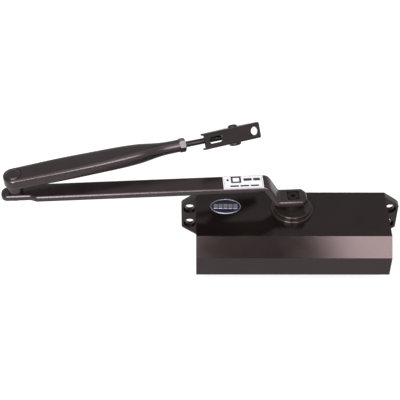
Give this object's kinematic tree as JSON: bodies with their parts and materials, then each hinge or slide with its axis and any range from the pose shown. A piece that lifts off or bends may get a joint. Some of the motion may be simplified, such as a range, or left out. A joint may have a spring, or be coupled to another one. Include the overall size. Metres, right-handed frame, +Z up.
{
  "type": "surface door closer",
  "caption": "Surface-mounted hydraulic door closer: chamfered housing with ears, spindle, cranked main arm, swaged forearm with adjusting rod, and pivoting shoe.",
  "frame": {"origin": "centre of the four-hole door fixing pattern, on the mounting face (Y = 0)", "axes": "+X along the housing towards the spring end, +Y into the door, +Z up along the spindle towards the arm"},
  "size_m": [0.3645, 0.1132, 0.1324],
  "materials": {
    "housing": "satin dark bronze",
    "badge": "brushed, with a dark field",
    "zinc": "zinc plated",
    "bearing_nut": "satin dark bronze",
    "steel": "machined",
    "rubber": "moulded nitrile",
    "black_steel": "blackened",
    "arm_finish": "satin dark bronze",
    "label": "printed film",
    "cap": "moulded",
    "bronze_bush": "sintered",
    "nut": "bright zinc"
  },
  "bodies": {
    "closer_body": {"housing": "housing", "nameplate": "badge", "left_end_plug": "zinc", "right_end_plug": "zinc", "end_plug_seals": "rubber", "upper_bearing_nut": "bearing_nut", "lower_bearing_nut": "bearing_nut", "upper_bearing": "steel", "lower_bearing": "steel", "upper_shaft_seal": "rubber", "lower_shaft_seal": "rubber", "main_spring": "steel", "closing_valve_seal": "rubber", "latching_valve_seal": "rubber"},
    "piston_body": {"piston": "steel", "check_valve_seat": "steel", "check_ball": "zinc", "check_retainer": "steel"},
    "spindle_body": {"pinion_shaft": "steel", "spindle_cap": "cap", "main_arm": "arm_finish", "arm_label": "label", "arm_screw": "black_steel", "elbow_rivet": "black_steel", "elbow_washer": "zinc"},
    "forearm_body": {"forearm": "arm_finish", "elbow_bush": "bronze_bush"},
    "nut_body": {"lock_nut": "nut"},
    "rod_body": {"adjusting_rod": "black_steel"},
    "shoe_body": {"shoe_bracket": "arm_finish", "shoe_pin": "black_steel", "shoe_washers": "zinc"},
    "spring_screw_body": {"spring_adjusting_screw": "black_steel"},
    "spring_seat_body": {"spring_seat": "steel"},
    "closing_valve_body": {"closing_valve": "zinc"},
    "latching_valve_body": {"latching_valve": "zinc"}
  },
  "joints": [
    {"name": "spindle_turn", "type": "hinge", "parent": "closer_body", "child": "spindle_body", "pos_m": [0, -0.0232, 0], "axis": [0, 0, 1], "range_deg": [0, 170]},
    {"name": "piston_slide", "type": "slide", "parent": "closer_body", "child": "piston_body", "axis": [1, 0, 0], "range_m": [0, 0.0246], "deforming": ["main_spring"]},
    {"name": "elbow_turn", "type": "hinge", "parent": "spindle_body", "child": "forearm_body", "pos_m": [-0.24897, -0.03278, 0.0724], "axis": [0, 0, 1], "range_deg": [0, 150]},
    {"name": "nut_turn", "type": "hinge", "parent": "forearm_body", "child": "nut_body", "pos_m": [-0.10417, 0.01176, 0.0724], "axis": [0.9558, 0.294, 0], "range_deg": [-1081, 3601]},
    {"name": "rod_slide", "type": "slide", "parent": "forearm_body", "child": "rod_body", "axis": [0.9558, 0.294, 0], "range_m": [-0.003, 0.01]},
    {"name": "shoe_pivot", "type": "hinge", "parent": "rod_body", "child": "shoe_body", "pos_m": [-0.05341, 0.02738, 0.0724], "axis": [-0.181, 0.5884, 0.788], "range_deg": [-11, 124]},
    {"name": "spring_screw_turn", "type": "hinge", "parent": "closer_body", "child": "spring_screw_body", "pos_m": [0.08, -0.0275, 0], "axis": [1, 0, 0], "range_deg": [0, 1441]},
    {"name": "spring_seat_slide", "type": "slide", "parent": "closer_body", "child": "spring_seat_body", "axis": [-1, 0, 0], "range_m": [0, 0.005]},
    {"name": "closing_valve_turn", "type": "hinge", "parent": "closer_body", "child": "closing_valve_body", "pos_m": [-0.08, -0.057, 0.009], "axis": [-1, 0, 0], "range_deg": [-90, 180]},
    {"name": "latching_valve_turn", "type": "hinge", "parent": "closer_body", "child": "latching_valve_body", "pos_m": [-0.08, -0.057, -0.009], "axis": [-1, 0, 0], "range_deg": [-90, 180]}
  ],
  "couplings": [
    {"joint": "piston_slide", "follows": "spindle_turn", "m_per_rad": 0.00825},
    {"joint": "nut_turn", "follows": "rod_slide", "rad_per_m": 6283.2},
    {"joint": "spring_screw_turn", "follows": "spring_seat_slide", "rad_per_m": 5026.5}
  ]
}
